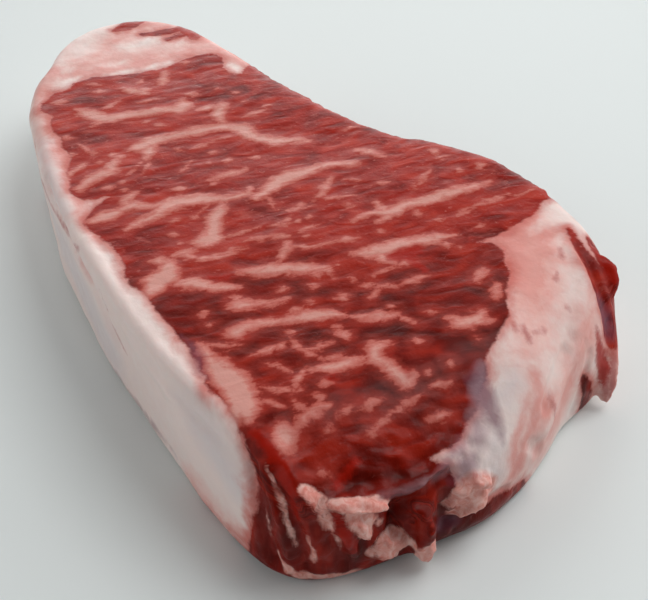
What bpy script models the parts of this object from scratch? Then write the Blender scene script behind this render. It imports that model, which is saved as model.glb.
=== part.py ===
"""A raw beef strip steak, cut across the loin and lying flat on its cut face.

The meat, the fat cap along one long side, the thin fatty tail and the fat that
wraps the thick end are all one piece of flesh, so the steak is one closed solid.
It is lofted: a ring of stations gives the plan outline and how the wall meets the
ground and the upper cut face, and torn flaps and a lip at the thick end are joined on.

+X runs from the tail to the thick end, the fat cap is on the -Y side, +Z is up.
Sizes are in millimetres and are turned into metres as the mesh is made.
"""
import bmesh
import bpy
import numpy as np
from mathutils import Matrix, Vector, noise

MM = 0.001

# Height of the upper cut face
TAIL_HEIGHT = 32.5
THICK_HEIGHT = 35.5
TAIL_END_X = -107.0
THICKEST_X = 62.0
DROOP_START_X = 74.0
DROOP_END_X = 103.0
DROOP = 10.5

# Uneven flesh: long low swells on the cut face, shorter dimples on the wall
FACE_SWELL = 0.7
FACE_SWELL_LENGTH = 38.0
WALL_DIMPLE = 0.9
WALL_DIMPLE_LENGTH = 17.0

# How finely the body is lofted
POINTS_ROUND = 132
TOE_RINGS = 3
WALL_RINGS = 4
SHOULDER_RINGS = 7
FACE_RINGS = (0.95, 0.88, 0.80, 0.71, 0.61, 0.50, 0.39, 0.27, 0.14)
TOE_RISE = 5.0

# Line along the middle of the cut face that its rings close in on
SPINE_START = (-62.0, -17.0)
SPINE_END = (50.0, 4.0)

# Stations round the plan: x, y of the wall's widest point, x, y of the upper edge,
# how far below the cut face the wall starts to turn in, and the tuck at its foot
STATIONS = (
    # fat cap side, from the tail corner to the thick end
    (-82.4, -46.0, -80.7, -42.7, 5.0, 2.5),
    (-71.9, -50.7, -70.9, -47.8, 4.5, 3.0),
    (-52.0, -54.6, -51.5, -51.6, 4.5, 3.5),
    (-30.0, -57.9, -29.7, -55.0, 4.0, 3.5),
    (-8.0, -59.0, -8.0, -56.2, 4.0, 2.5),
    (14.0, -59.3, 14.0, -56.5, 4.0, 2.0),
    (36.0, -57.6, 35.8, -54.7, 4.0, 1.5),
    (56.0, -56.0, 55.5, -52.2, 6.0, 1.5),
    # corner that is pared away to the thick end
    (72.0, -54.2, 70.0, -48.2, 18.0, 1.5),
    (84.0, -51.8, 80.5, -44.5, 25.0, 1.5),
    (92.5, -48.3, 89.5, -43.5, 20.0, 1.5),
    (98.0, -43.0, 95.5, -40.3, 8.0, 2.0),
    # lean wall of the thick end
    (101.0, -33.0, 98.6, -32.3, 5.0, 2.0),
    (102.0, -21.0, 99.4, -20.6, 5.0, 2.0),
    (102.5, -9.0, 98.0, -9.0, 8.0, 2.0),
    (102.0, 3.0, 94.0, 0.5, 14.0, 1.5),
    # fat that wraps the corner
    (98.5, 15.0, 86.5, 10.0, 23.0, 1.5),
    (93.0, 25.0, 78.5, 19.0, 27.0, 1.5),
    (87.5, 34.0, 71.5, 27.0, 29.0, 1.5),
    (84.3, 44.0, 65.0, 34.5, 28.0, 1.0),
    (79.0, 53.0, 61.0, 43.0, 25.0, 1.0),
    (70.5, 59.5, 55.5, 51.0, 17.0, 2.0),
    (57.0, 61.0, 49.0, 56.5, 10.0, 2.5),
    # bone side, trimmed close
    (42.0, 60.0, 41.0, 56.8, 5.0, 2.5),
    (29.0, 58.3, 29.3, 55.2, 4.0, 2.5),
    (16.0, 53.3, 17.2, 50.5, 4.0, 2.5),
    (5.0, 46.0, 6.7, 43.7, 4.0, 2.5),
    (-6.0, 36.8, -4.5, 34.4, 4.0, 2.5),
    (-24.0, 29.0, -23.0, 26.2, 4.0, 2.5),
    (-46.0, 22.3, -45.3, 19.4, 4.0, 2.5),
    (-68.0, 18.0, -67.2, 14.8, 4.5, 2.5),
    # thin fatty tail
    (-88.5, 13.6, -86.9, 9.9, 5.5, 3.0),
    (-102.5, 6.8, -99.4, 3.6, 6.0, 3.0),
    (-109.5, -5.0, -105.3, -6.6, 6.0, 3.0),
    (-109.4, -21.0, -105.2, -20.4, 6.0, 3.0),
    (-100.3, -34.4, -97.6, -30.8, 6.5, 3.0),
    (-90.7, -40.0, -88.5, -36.6, 6.0, 2.8),
)

# Middle of the finished plan, which is moved to the origin
PLAN_MIDDLE = (-1.55, 0.75)

# Lumps joined on at the thick end: centre, half sizes, turn about Z and about Y in degrees
LUMPS = {
    "torn_fat_flap": ((99.2, -32.3, 21.0), (3.6, 5.8, 5.2), 0, 12),
    "fat_pad_under_flap": ((101.2, -25.3, 9.0), (3.8, 4.6, 4.6), 0, 10),
    "lean_fold": ((99.6, -17.3, 13.5), (4.8, 4.6, 7.4), 0, -8),
    "hanging_fat_nub": ((103.6, -17.2, 6.0), (3.9, 2.9, 4.6), 0, 14),
    "torn_fat_ridge": ((100.0, -4.6, 14.5), (6.0, 4.2, 5.4), 65, 0),
}
CREVICE = ((103.6, -23.6, 17.5), (5.0, 2.6, 5.0), 0, 15)

# Lean lip that rolls out under the fat at the foot of the thick end
LIP_PATH = (
    (96.5, -17.0, 4.8),
    (99.3, -8.0, 4.8),
    (99.4, 1.0, 4.8),
    (96.6, 9.5, 4.8),
    (91.5, 16.0, 5.2),
)
LIP_RADIUS = 4.6

# Ridge of lean and fat that hangs down the corner
RIDGE_PATH = (
    (62.0, 54.0, 27.0),
    (70.0, 53.5, 22.5),
    (76.6, 51.2, 17.0),
    (81.5, 48.8, 10.5),
    (83.6, 46.6, 4.9),
)
RIDGE_RADIUS = 4.6
ROLL_END_SHARE = 0.45
WELD = 0.02
LUMP_ROUGHNESS = 0.32
LUMP_ROUGHNESS_LENGTH = 7.0


def smooth_step(low, high, value):
    part = np.clip((value - low) / (high - low), 0.0, 1.0)
    return part * part * (3.0 - 2.0 * part)


def in_metres(point):
    """A place given in millimetres, moved so that the middle of the plan is the origin."""
    x, y, z = point
    return Vector((x - PLAN_MIDDLE[0], y - PLAN_MIDDLE[1], z)) * MM


def swell(x, y, z, length):
    return noise.noise(Vector((x, y, z)) / length)


def face_height(x, y):
    """Height of the upper cut face over the ground."""
    height = TAIL_HEIGHT + (THICK_HEIGHT - TAIL_HEIGHT) * smooth_step(TAIL_END_X, THICKEST_X, x)
    height -= DROOP * smooth_step(DROOP_START_X, DROOP_END_X, x) ** 1.2
    return height + FACE_SWELL * swell(x, y, 3.0, FACE_SWELL_LENGTH)


def stations_all_round(count):
    """Station values at equal steps along one smooth closed curve through them all."""
    knots = np.array(STATIONS)
    before = np.roll(knots, 1, axis=0)
    after = np.roll(knots, -1, axis=0)
    spans = np.linalg.norm(after[:, :2] - knots[:, :2], axis=1)
    spans_before = np.roll(spans, 1)
    slopes = (after - before) / (spans + spans_before)[:, None]
    ends = np.concatenate(([0.0], np.cumsum(spans)))
    rows = []
    for distance in np.linspace(0.0, ends[-1], count, endpoint=False):
        index = int(np.searchsorted(ends, distance, side="right")) - 1
        following = (index + 1) % len(knots)
        span = spans[index]
        t = (distance - ends[index]) / span
        rows.append(
            (2 * t**3 - 3 * t**2 + 1) * knots[index]
            + (t**3 - 2 * t**2 + t) * span * slopes[index]
            + (3 * t**2 - 2 * t**3) * knots[following]
            + (t**3 - t**2) * span * slopes[following]
        )
    return np.array(rows)


def inward_directions(plan):
    """Unit vectors that point into the steak, square to its outline."""
    along = np.roll(plan, -1, axis=0) - np.roll(plan, 1, axis=0)
    along /= np.linalg.norm(along, axis=1)[:, None]
    return np.stack((-along[:, 1], along[:, 0]), axis=1)


def wall_profile(drop, height):
    """Height, share of the tuck and share of the way to the upper edge, from the ground up."""
    turn = height - drop
    steps = []
    for ring in range(TOE_RINGS):
        angle = 0.5 * np.pi * ring / TOE_RINGS
        steps.append((TOE_RISE * (1.0 - np.cos(angle)), 1.0 - np.sin(angle), 0.0))
    for ring in range(WALL_RINGS):
        steps.append((TOE_RISE + (turn - TOE_RISE) * ring / WALL_RINGS, 0.0, 0.0))
    for ring in range(SHOULDER_RINGS + 1):
        angle = 0.5 * np.pi * ring / SHOULDER_RINGS
        steps.append((turn + drop * np.sin(angle), 0.0, 1.0 - np.cos(angle)))
    return steps


def nearest_on_spine(point):
    start = np.array(SPINE_START)
    end = np.array(SPINE_END)
    part = np.clip((point[0] - start[0]) / (end[0] - start[0]), 0.0, 1.0)
    return start + part * (end - start)


def lofted_rings():
    """Rings of points from the foot of the wall up and in over the cut face."""
    stations = stations_all_round(POINTS_ROUND)
    widest, edges = stations[:, :2], stations[:, 2:4]
    columns = []
    for wall, edge, inward, (drop, toe) in zip(widest, edges, inward_directions(widest), stations[:, 4:]):
        height = face_height(*edge)
        column = []
        for z, tuck, lean in wall_profile(drop, height):
            dimple = WALL_DIMPLE * swell(wall[0], wall[1], z, WALL_DIMPLE_LENGTH)
            dimple *= smooth_step(0.0, TOE_RISE, z) * (1.0 - smooth_step(height - 3.0, height, z))
            x, y = wall + lean * (edge - wall) + (toe * tuck + dimple) * inward
            column.append((x, y, z))
        spine = nearest_on_spine(edge)
        for part in FACE_RINGS:
            x, y = spine + part * (edge - spine)
            column.append((x, y, face_height(x, y)))
        columns.append(column)
    return list(zip(*columns))


def lofted_body():
    """Skin the rings, and close the flat underside and the middle of the cut face."""
    body = bmesh.new()
    rings = [[body.verts.new(in_metres(point)) for point in ring] for ring in lofted_rings()]
    for lower, upper in zip(rings, rings[1:]):
        for here in range(POINTS_ROUND):
            there = (here + 1) % POINTS_ROUND
            body.faces.new((lower[here], lower[there], upper[there], upper[here]))
    body.faces.new(list(reversed(rings[0])))
    body.faces.new(rings[-1])
    bmesh.ops.triangulate(body, faces=body.faces[:])
    bmesh.ops.recalc_face_normals(body, faces=body.faces[:])
    return body


def lump(centre, half_sizes, turn_z, turn_y):
    """A rough lump of flesh: a ball that is stretched, turned, put in its place and roughened."""
    ball = bmesh.new()
    bmesh.ops.create_icosphere(ball, subdivisions=3, radius=1.0)
    for vert in ball.verts:
        local = Vector(centre) + vert.co * LUMP_ROUGHNESS_LENGTH
        vert.co *= 1.0 + LUMP_ROUGHNESS * swell(*local, LUMP_ROUGHNESS_LENGTH)
    place = (
        Matrix.Translation(in_metres(centre))
        @ Matrix.Rotation(np.radians(turn_z), 4, "Z")
        @ Matrix.Rotation(np.radians(turn_y), 4, "Y")
        @ Matrix.Diagonal((*(size * MM for size in half_sizes), 1.0))
    )
    bmesh.ops.transform(ball, matrix=place, verts=ball.verts[:])
    return ball


def rolled_edge(path, radius):
    """A soft roll of flesh along a path, thin at both ends."""
    curve = bpy.data.curves.new("roll", "CURVE")
    curve.dimensions = "3D"
    curve.bevel_depth = radius * MM
    curve.bevel_resolution = 2
    curve.resolution_u = 5
    curve.use_fill_caps = True
    spline = curve.splines.new("NURBS")
    spline.points.add(len(path) - 1)
    for index, (point, place) in enumerate(zip(spline.points, path)):
        point.co = (*in_metres(place), 1.0)
        point.radius = ROLL_END_SHARE if index in (0, len(path) - 1) else 1.0
    spline.order_u = 4
    spline.use_endpoint_u = True
    guide = bpy.data.objects.new("roll", curve)
    bpy.context.scene.collection.objects.link(guide)
    evaluated = guide.evaluated_get(bpy.context.evaluated_depsgraph_get())
    roll = bmesh.new()
    roll.from_mesh(bpy.data.meshes.new_from_object(evaluated))
    bmesh.ops.remove_doubles(roll, verts=roll.verts[:], dist=WELD * MM)
    bmesh.ops.recalc_face_normals(roll, faces=roll.faces[:])
    bpy.data.objects.remove(guide)
    return roll


def raw_beef():
    material = bpy.data.materials.new("raw_beef")
    material.use_nodes = True
    shader = material.node_tree.nodes["Principled BSDF"]
    shader.inputs["Base Color"].default_value = (0.31, 0.045, 0.032, 1.0)
    shader.inputs["Roughness"].default_value = 0.38
    shader.inputs["Metallic"].default_value = 0.0
    return material


def add_object(name, solid, collection):
    mesh = bpy.data.meshes.new(name)
    solid.to_mesh(mesh)
    solid.free()
    item = bpy.data.objects.new(name, mesh)
    collection.objects.link(item)
    return item


def add_tool(steak, name, solid, operation, tools):
    """Keep a lump or a cutter in the tools collection and apply it to the steak."""
    tool = add_object(name, solid, tools)
    tool.hide_render = True
    tool.display_type = "WIRE"
    boolean = steak.modifiers.new(name, "BOOLEAN")
    boolean.operation = operation
    boolean.solver = "EXACT"
    boolean.object = tool


for item in list(bpy.data.objects):
    bpy.data.objects.remove(item)

steak_collection = bpy.data.collections.new("raw_beef_steak")
tool_collection = bpy.data.collections.new("steak_tools")
bpy.context.scene.collection.children.link(steak_collection)
bpy.context.scene.collection.children.link(tool_collection)

steak = add_object("steak", lofted_body(), steak_collection)
steak.data.materials.append(raw_beef())
steak.data.shade_smooth()
for lump_name, lump_sizes in LUMPS.items():
    add_tool(steak, lump_name, lump(*lump_sizes), "UNION", tool_collection)
add_tool(steak, "lean_lip", rolled_edge(LIP_PATH, LIP_RADIUS), "UNION", tool_collection)
add_tool(steak, "corner_ridge", rolled_edge(RIDGE_PATH, RIDGE_RADIUS), "UNION", tool_collection)
add_tool(steak, "crevice", lump(*CREVICE), "DIFFERENCE", tool_collection)
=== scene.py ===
import math

import bmesh
import bpy
import numpy as np
from mathutils import Matrix, Vector, noise


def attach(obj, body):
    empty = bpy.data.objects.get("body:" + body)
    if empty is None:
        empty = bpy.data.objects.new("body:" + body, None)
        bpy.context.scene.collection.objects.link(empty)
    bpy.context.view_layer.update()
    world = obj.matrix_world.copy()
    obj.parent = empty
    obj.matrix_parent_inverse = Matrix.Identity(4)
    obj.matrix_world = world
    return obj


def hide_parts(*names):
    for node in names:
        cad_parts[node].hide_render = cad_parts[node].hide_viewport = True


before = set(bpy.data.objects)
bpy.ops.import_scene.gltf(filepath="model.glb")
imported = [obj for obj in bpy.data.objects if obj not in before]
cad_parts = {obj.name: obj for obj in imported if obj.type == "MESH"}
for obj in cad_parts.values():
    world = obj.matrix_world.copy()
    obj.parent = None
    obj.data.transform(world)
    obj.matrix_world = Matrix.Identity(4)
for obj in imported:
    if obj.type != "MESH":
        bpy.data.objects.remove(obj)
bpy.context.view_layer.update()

# --- The cut of beef ----------------------------------------------------------
# One strip steak, sawn across the loin and laid on its cut face: a single piece of
# soft flesh. Its form is the solid's, rounded like flesh that sags under its own
# weight, with the torn tags at the thick end where the butcher pulled it away.
MM = 0.001
WELD = 0.002
FLESH_GRID = 0.72
SOFTENING_PASSES = 9
UNDERSIDE_BELOW = 0.35

# Torn tags at the thick end: places along each tag, its half width and half thickness there
TORN_TAGS = {
    "curled_fat_edge": ((95.4, -42.4, 28.6, 1.0, 0.8), (97.4, -41.0, 27.6, 1.5, 1.0),
                        (99.3, -39.9, 24.6, 1.7, 1.0), (101.0, -39.0, 20.6, 1.5, 0.9),
                        (101.6, -38.5, 17.0, 0.8, 0.7)),
    "flap_edge": ((99.8, -38.6, 25.4, 1.2, 0.9), (101.8, -35.0, 25.8, 2.0, 1.0),
                  (103.6, -30.6, 25.2, 2.2, 1.0), (104.4, -26.6, 24.0, 1.4, 0.8)),
    "flap_tip": ((102.8, -33.4, 23.0, 3.2, 1.2), (104.4, -31.8, 19.6, 2.6, 1.2),
                 (104.2, -31.6, 15.8, 1.2, 0.9)),
    "lean_strip_under_flap": ((101.0, -38.2, 22.6, 1.2, 1.0), (102.8, -36.2, 19.0, 1.7, 1.2),
                              (103.6, -34.6, 14.0, 1.5, 1.1), (103.2, -33.8, 10.0, 0.9, 0.8)),
    "white_thread": ((100.9, -39.0, 20.4, 0.7, 0.7), (101.9, -36.9, 13.8, 0.8, 0.7),
                     (102.2, -34.8, 9.6, 0.7, 0.6)),
    "lean_knot": ((103.6, -21.0, 19.6, 1.6, 1.4), (105.6, -18.2, 17.6, 2.4, 1.8),
                  (107.0, -18.4, 12.6, 2.6, 2.0), (106.4, -20.2, 8.4, 1.8, 1.5)),
    "ragged_fat": ((103.2, -10.9, 14.8, 1.4, 1.2), (104.4, -8.6, 18.0, 2.0, 1.3),
                   (104.6, -5.2, 20.6, 2.2, 1.3), (104.8, -1.4, 18.4, 2.0, 1.3)),
    "ragged_fat_foot": ((104.6, -9.4, 10.6, 1.4, 1.2), (105.4, -6.0, 11.6, 2.0, 1.3),
                        (105.4, -2.2, 12.4, 1.6, 1.2)),
    "rolled_membrane": ((101.8, -27.6, 24.6, 0.7, 0.6), (103.0, -22.4, 24.2, 0.9, 0.7),
                        (103.0, -17.4, 24.8, 0.9, 0.7), (101.6, -11.4, 25.8, 0.8, 0.6),
                        (99.2, -5.0, 26.9, 0.7, 0.6)),
    "strip_tip": ((66.0, 56.6, 31.6, 1.0, 0.8), (69.6, 57.6, 30.0, 1.9, 1.0),
                  (72.6, 56.8, 27.4, 1.7, 1.0), (74.4, 55.2, 24.8, 0.9, 0.7)),
    "corner_flap": ((81.6, 51.6, 16.5, 1.2, 0.9), (84.2, 50.2, 12.0, 2.2, 1.1),
                    (86.4, 48.4, 7.0, 2.4, 1.1), (87.4, 46.6, 2.6, 1.8, 1.0)),
}


def torn_tag(places):
    """A closed tag of flesh: oval rings along its places, bridged and capped."""
    tag = bmesh.new()
    points = [Vector(place[:3]) for place in places]
    rings = []
    for index, (point, place) in enumerate(zip(points, places)):
        along = points[min(index + 1, len(points) - 1)] - points[max(index - 1, 0)]
        turn = along.to_track_quat("Z", "X").to_matrix().to_4x4()
        size = Matrix.Diagonal((place[4], place[3], 1.0, 1.0))
        ring = bmesh.ops.create_circle(tag, segments=12, radius=1.0, cap_ends=False)["verts"]
        bmesh.ops.transform(tag, matrix=Matrix.Translation(point) @ turn @ size, verts=ring)
        rings.append(ring)
    for near, far in zip(rings, rings[1:]):
        edges = {edge for vert in near + far for edge in vert.link_edges if len(edge.link_faces) < 2}
        near_edges = [edge for edge in edges if edge.verts[0] in near and edge.verts[1] in near]
        far_edges = [edge for edge in edges if edge.verts[0] in far and edge.verts[1] in far]
        bmesh.ops.bridge_loops(tag, edges=near_edges + far_edges)
    ends = [edge for edge in tag.edges if len(edge.link_faces) == 1]
    bmesh.ops.holes_fill(tag, edges=ends, sides=0)
    bmesh.ops.recalc_face_normals(tag, faces=tag.faces[:])
    return tag


def hung(name, mesh):
    item = bpy.data.objects.new(name, mesh)
    bpy.context.scene.collection.objects.link(item)
    return item


def with_modifiers_applied(mesh, *modifiers):
    """The mesh after the given modifiers, each a type and its settings."""
    item = hung("working", mesh)
    for kind, settings in modifiers:
        modifier = item.modifiers.new(kind, kind)
        for name, value in settings.items():
            setattr(modifier, name, value)
    evaluated = item.evaluated_get(bpy.context.evaluated_depsgraph_get())
    result = bpy.data.meshes.new_from_object(evaluated)
    bpy.data.objects.remove(item)
    return result


solid = bmesh.new()
solid.from_mesh(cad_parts["steak"].data)
bmesh.ops.scale(solid, vec=Vector((1.0, 1.0, 1.0)) / MM, verts=solid.verts[:])
bmesh.ops.remove_doubles(solid, verts=solid.verts[:], dist=WELD)
solid_mesh = bpy.data.meshes.new("solid")
solid.to_mesh(solid_mesh)
solid.free()
rounded = with_modifiers_applied(solid_mesh, ("SUBSURF", {"levels": 1, "render_levels": 1}))

flesh = bmesh.new()
flesh.from_mesh(rounded)
for places in TORN_TAGS.values():
    tag = torn_tag(places)
    tag_mesh = bpy.data.meshes.new("tag")
    tag.to_mesh(tag_mesh)
    tag.free()
    flesh.from_mesh(tag_mesh)
flesh_mesh = bpy.data.meshes.new("flesh")
flesh.to_mesh(flesh_mesh)
flesh.free()
flesh_mesh = with_modifiers_applied(
    flesh_mesh, ("REMESH", {"mode": "VOXEL", "voxel_size": FLESH_GRID, "use_smooth_shade": True})
)

flesh = bmesh.new()
flesh.from_mesh(flesh_mesh)
for _ in range(SOFTENING_PASSES):
    bmesh.ops.smooth_vert(
        flesh, verts=flesh.verts[:], factor=0.5, use_axis_x=True, use_axis_y=True, use_axis_z=True
    )
underside = [vert for vert in flesh.verts if vert.co.z < UNDERSIDE_BELOW]
for vert in underside:
    vert.co.z = 0.0
bmesh.ops.unsubdivide(flesh, verts=underside, iterations=2)
bmesh.ops.triangulate(flesh, faces=flesh.faces[:])
bmesh.ops.recalc_face_normals(flesh, faces=flesh.faces[:])
flesh.to_mesh(flesh_mesh)
flesh.free()

# The eye of lean, seen from above: where muscle gives way to fat, on any level of the steak
EYE_OUTLINE = (
    (-63, 30), (-61, 19.5), (-58.5, 17), (-56, 14), (-54, 11.5), (-55, 9.5), (-57.5, 8), (-61, 8),
    (-64, 10), (-67.5, 11), (-70, 9.8), (-72.2, 4), (-71.3, -2), (-70, -5.3), (-70.3, -14),
    (-72.5, -22.8), (-74.8, -30), (-73.5, -36.5), (-71.3, -38.4), (-71.3, -42.8), (-66.9, -47.8),
    (-63, -49.3), (-58.7, -47.6), (-52, -49.2), (-44, -48.8), (-39.8, -49.8), (-35.3, -48.9),
    (-26.4, -52.6), (-16.8, -54.7), (-12.9, -51.9), (-11.5, -45.5), (-9.6, -49.7), (-6.2, -53.6),
    (-2.9, -55.8), (2.7, -55.2), (8.2, -53), (16, -52.2), (26.6, -53.6), (32, -51.9),
    (42.7, -50.8), (53.8, -50.2), (62, -49.1), (67, -50.8), (75.4, -48), (80, -48.6), (84.5, -49.2),
    (88.8, -50.9), (91, -62), (125, -62), (125, -9), (103, -10), (98.7, -14), (98.5, -10), (98, -6),
    (96, -3.5), (94, 0.5), (91, 4), (88.5, 7), (84.9, 9.6), (83.8, 11.6), (79.9, 16.6),
    (77.1, 19.9), (73.2, 22.4), (69.3, 24.9), (67, 26.6), (64.3, 29.9), (60.4, 31), (56, 33.4),
    (52.9, 32.8), (50.7, 29), (51.3, 34), (51, 37.8), (49.8, 43.4), (48.2, 47.8), (45.4, 52),
    (44.4, 54.6), (43.5, 75), (-63, 75),
)

# Strands of lean outside the eye: x, y, z and radius along each
LEAN_STRANDS = (
    # blades of muscle in the tail
    ((-108, -2, 32, 2.6), (-104, -5.5, 32, 3.4), (-101.5, -8.5, 32, 2.6), (-100.5, -12, 32, 1.4)),
    ((-97, 9.5, 32, 2.0), (-90.5, 8.6, 32, 3.6), (-84, 8.2, 32, 2.2)),
    ((-91.5, 6, 32, 1.8), (-92.5, 0.5, 32, 1.9), (-94.3, -6, 32, 1.2)),
    ((-88, 5, 32, 1.6), (-87.5, 0, 32, 1.2)),
    # lip rolled out at the foot of the thick end
    ((98, -17.7, 3.5, 6.5), (101, -8.7, 3.5, 6.5), (101.5, 0.3, 3, 6.0), (98.1, 8.8, 2, 5.0)),
    # strip of muscle down the corner
    ((57.3, 52.3, 35.1, 0.8), (62.6, 51.8, 34.2, 1.6), (67.6, 51.8, 32.5, 3.0), (72, 52.5, 29.5, 4.2),
     (77, 52.5, 25, 4.2), (80.5, 52, 20.5, 3.2), (82.5, 51, 17, 1.6)),
    ((61.5, 56.6, 32.6, 1.4), (67, 57.5, 30, 3.2), (73, 57.2, 26, 4.0), (78, 55.8, 21, 3.5),
     (81, 54.5, 17, 2.0)),
    # lean that shows beside the corner flap
    ((86.6, 38.6, 15, 0.6), (86.8, 40.4, 10, 1.8), (86.6, 41.8, 4, 2.4)),
)

# Seams of fat through the eye: x, y and half width along each
SEAMS = (
    ((53.6, -47.4, 1.8), (59.5, -46.2, 2.0), (63, -46.2, 2.6), (70.1, -46.2, 2.8), (76, -47.4, 3.0)),
    # tail end
    ((-48.5, -10.5, 1.2), (-45.5, -11.2, 2.3), (-43.3, -13.2, 2.2), (-44.8, -16, 1.7),
     (-46.3, -20, 1.9), (-46.6, -24, 1.8), (-48.2, -28, 2.0), (-48.3, -31, 2.3), (-49.5, -34.5, 2.6),
     (-52.5, -36.5, 2.4), (-55.5, -38.8, 1.8), (-58.3, -39.8, 1.2)),
    ((-49.5, -34.5, 2.0), (-47.5, -38.5, 1.2)),
    ((-38.5, -1, 1.2), (-39.8, -1.4, 1.7), (-35, -4.5, 1.7), (-31.4, -4.2, 1.6)),
    ((-39.5, -2.5, 1.4), (-40.5, -6, 1.6), (-40.9, -8.1, 1.3)),
    ((-66.9, -8.7, 1.9), (-61.2, -12.1, 2.2)),
    ((-62.5, -23.4, 1.7), (-58.8, -19, 2.0), (-58.1, -19.6, 1.8)),
    # the long seam left of the middle
    ((-10, 12.9, 1.2), (-12, 10.7, 1.3), (-13.5, 7.9, 1.5), (-15.5, 3.8, 2.5), (-17.5, 2.5, 2.0),
     (-20, 0.5, 1.8), (-23, -0.8, 2.2), (-25.5, -0.5, 2.4), (-28.5, -4.5, 1.7), (-30.5, -9, 2.0),
     (-31, -14, 2.2), (-31, -19, 1.8), (-31, -23, 2.0), (-31.5, -27, 2.6), (-30.5, -31, 2.6),
     (-29.8, -33.5, 1.4)),
    ((-29.5, -26.5, 2.0), (-27, -29, 2.0), (-24.5, -31.5, 1.2)),
    ((-31.5, -27, 2.0), (-33.5, -26.5, 1.5)),
    ((-6, -9, 1.5), (-6.2, -13, 1.4), (-6.3, -16, 1.2), (-5.7, -19.5, 1.0)),
    # middle
    ((2.1, -11.3, 0.7), (4.9, -13.5, 1.1), (4.3, -17.5, 1.4), (2.7, -21.3, 1.9), (1, -24.7, 2.3),
     (0.4, -28, 2.2), (-0.2, -32, 2.6), (0.6, -34.8, 2.2), (2.3, -38.5, 1.5), (3.2, -41.3, 1.3),
     (4, -44.5, 1.3), (5.5, -47.5, 1.0)),
    ((-0.8, -34.5, 1.0), (-2.5, -39.5, 1.0), (-4.5, -42, 1.8), (-3.6, -46, 1.4), (-3.3, -50, 2.4),
     (-3, -54, 2.0)),
    ((-9.3, -39.7, 1.5), (-7.9, -43, 1.5), (-4.6, -43, 1.5)),
    ((6.3, -20.5, 1.0), (9, -22.5, 1.8), (11, -25.5, 2.0), (14.5, -27, 2.2), (18, -28.5, 2.6),
     (18.5, -31, 2.4), (18, -33.5, 1.4)),
    ((6.2, 20, 0.7), (6, 17.3, 1.3), (4.3, 12.9, 1.2), (3.3, 8.5, 1.7), (3.2, 4, 2.3),
     (3.2, 0, 2.6), (4, -4, 2.5), (5.8, -8, 1.9), (8, -12.3, 1.3), (8.3, -13.5, 0.7)),
    ((9.9, 9.3, 0.9), (12.7, 5.7, 1.1), (15.7, 2.4, 0.9)),
    ((0.4, 22.9, 1.1), (2.7, 24.9, 1.3), (6, 26.8, 1.1)),
    # towards the thick end
    ((31.5, 46.5, 1.0), (31.5, 42, 1.2), (31, 38, 1.7), (30.7, 34, 2.1), (30.5, 29, 2.2),
     (29.8, 24, 1.7), (29.5, 20, 1.7), (30, 16.5, 2.3), (28.6, 12, 0.8), (28.2, 8, 1.0),
     (29, 5.3, 0.7)),
    ((30, 16.5, 1.8), (31.8, 14, 1.4), (32.5, 11.5, 0.7)),
    ((30, 16.5, 1.5), (27.5, 14.7, 1.3), (24.9, 14.6, 1.0)),
    ((46, 25, 0.9), (45, 20.7, 1.6), (43.2, 16, 2.0), (42.4, 11, 2.2), (42.3, 6.5, 2.4),
     (42, 2.5, 1.9), (41, -1, 1.1)),
    ((42.3, 5, 1.6), (45.5, 4.5, 1.5), (48.5, 6.5, 0.9)),
    ((46, -9, 0.6), (43.2, -9.1, 0.8), (41, -11.9, 1.3), (39.3, -15.2, 1.9), (37.7, -18.5, 2.0),
     (36.3, -22, 2.1), (35.3, -25.8, 1.1), (34, -29, 0.6)),
    ((29.5, -13.5, 1.7), (31.5, -14.8, 1.5), (34, -17.5, 1.3)),
    ((39, -30.5, 0.7), (37.7, -33.5, 1.5), (36.3, -36.3, 1.5), (33.5, -39, 2.0), (32.3, -42, 1.6),
     (31, -45, 1.2)),
    ((48, -22.5, 0.6), (47.3, -26.5, 0.8), (46, -30, 1.0), (44.7, -33.5, 1.6), (44.3, -36, 0.7)),
    ((59.3, -13.5, 1.0), (57.5, -17, 1.8), (55.7, -21, 2.0), (54.3, -25.5, 1.3), (53.3, -30, 1.1),
     (52.3, -34.5, 1.4), (53, -38, 1.6), (53, -40, 0.8)),
    ((72, -9.2, 1.2), (71.5, -12, 2.0), (74, -13.2, 1.8), (77.5, -12.5, 1.6), (80.5, -12.3, 1.8),
     (83.5, -11, 1.3), (83, -9.3, 0.8)),
    ((73.3, -16, 1.0), (73.2, -20, 1.7), (72.5, -24, 1.6), (71.5, -28, 0.9)),
    ((67, 24, 0.7), (69, 22.5, 1.0), (70.5, 21, 0.6)),
    ((73, 16, 0.8), (74.5, 13, 1.9), (74.5, 10, 2.0), (74.5, 6.5, 0.9)),
    ((74.5, 9.5, 1.2), (72.3, 9, 1.0), (71.2, 7.5, 0.8)),
    ((64.8, -2.5, 0.9), (63.3, -6, 1.3), (61.8, -10, 0.7), (60.8, -12, 0.5)),
    ((60.5, 25, 0.6), (62, 22.5, 1.0), (63.5, 20.5, 0.9)),
    # clumps of fat that run in from the cap
    ((-27.5, -37, 1.3), (-24.5, -40.5, 1.6), (-22, -41.5, 1.7), (-20.8, -47.5, 1.8),
     (-18.5, -51.5, 2.2)),
    ((-28.7, -47.6, 1.6), (-26, -52, 1.6)),
    ((22.5, -42.5, 2.3), (27, -44.5, 3.0), (28.5, -48, 3.2), (31, -51, 3.0)),
    ((60, -44, 1.6), (67, -44.5, 3.0), (74, -45, 3.2), (78, -46, 1.8)),
    ((83, -40, 1.8), (85, -41, 2.6), (87.5, -42, 1.8)),
)
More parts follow.
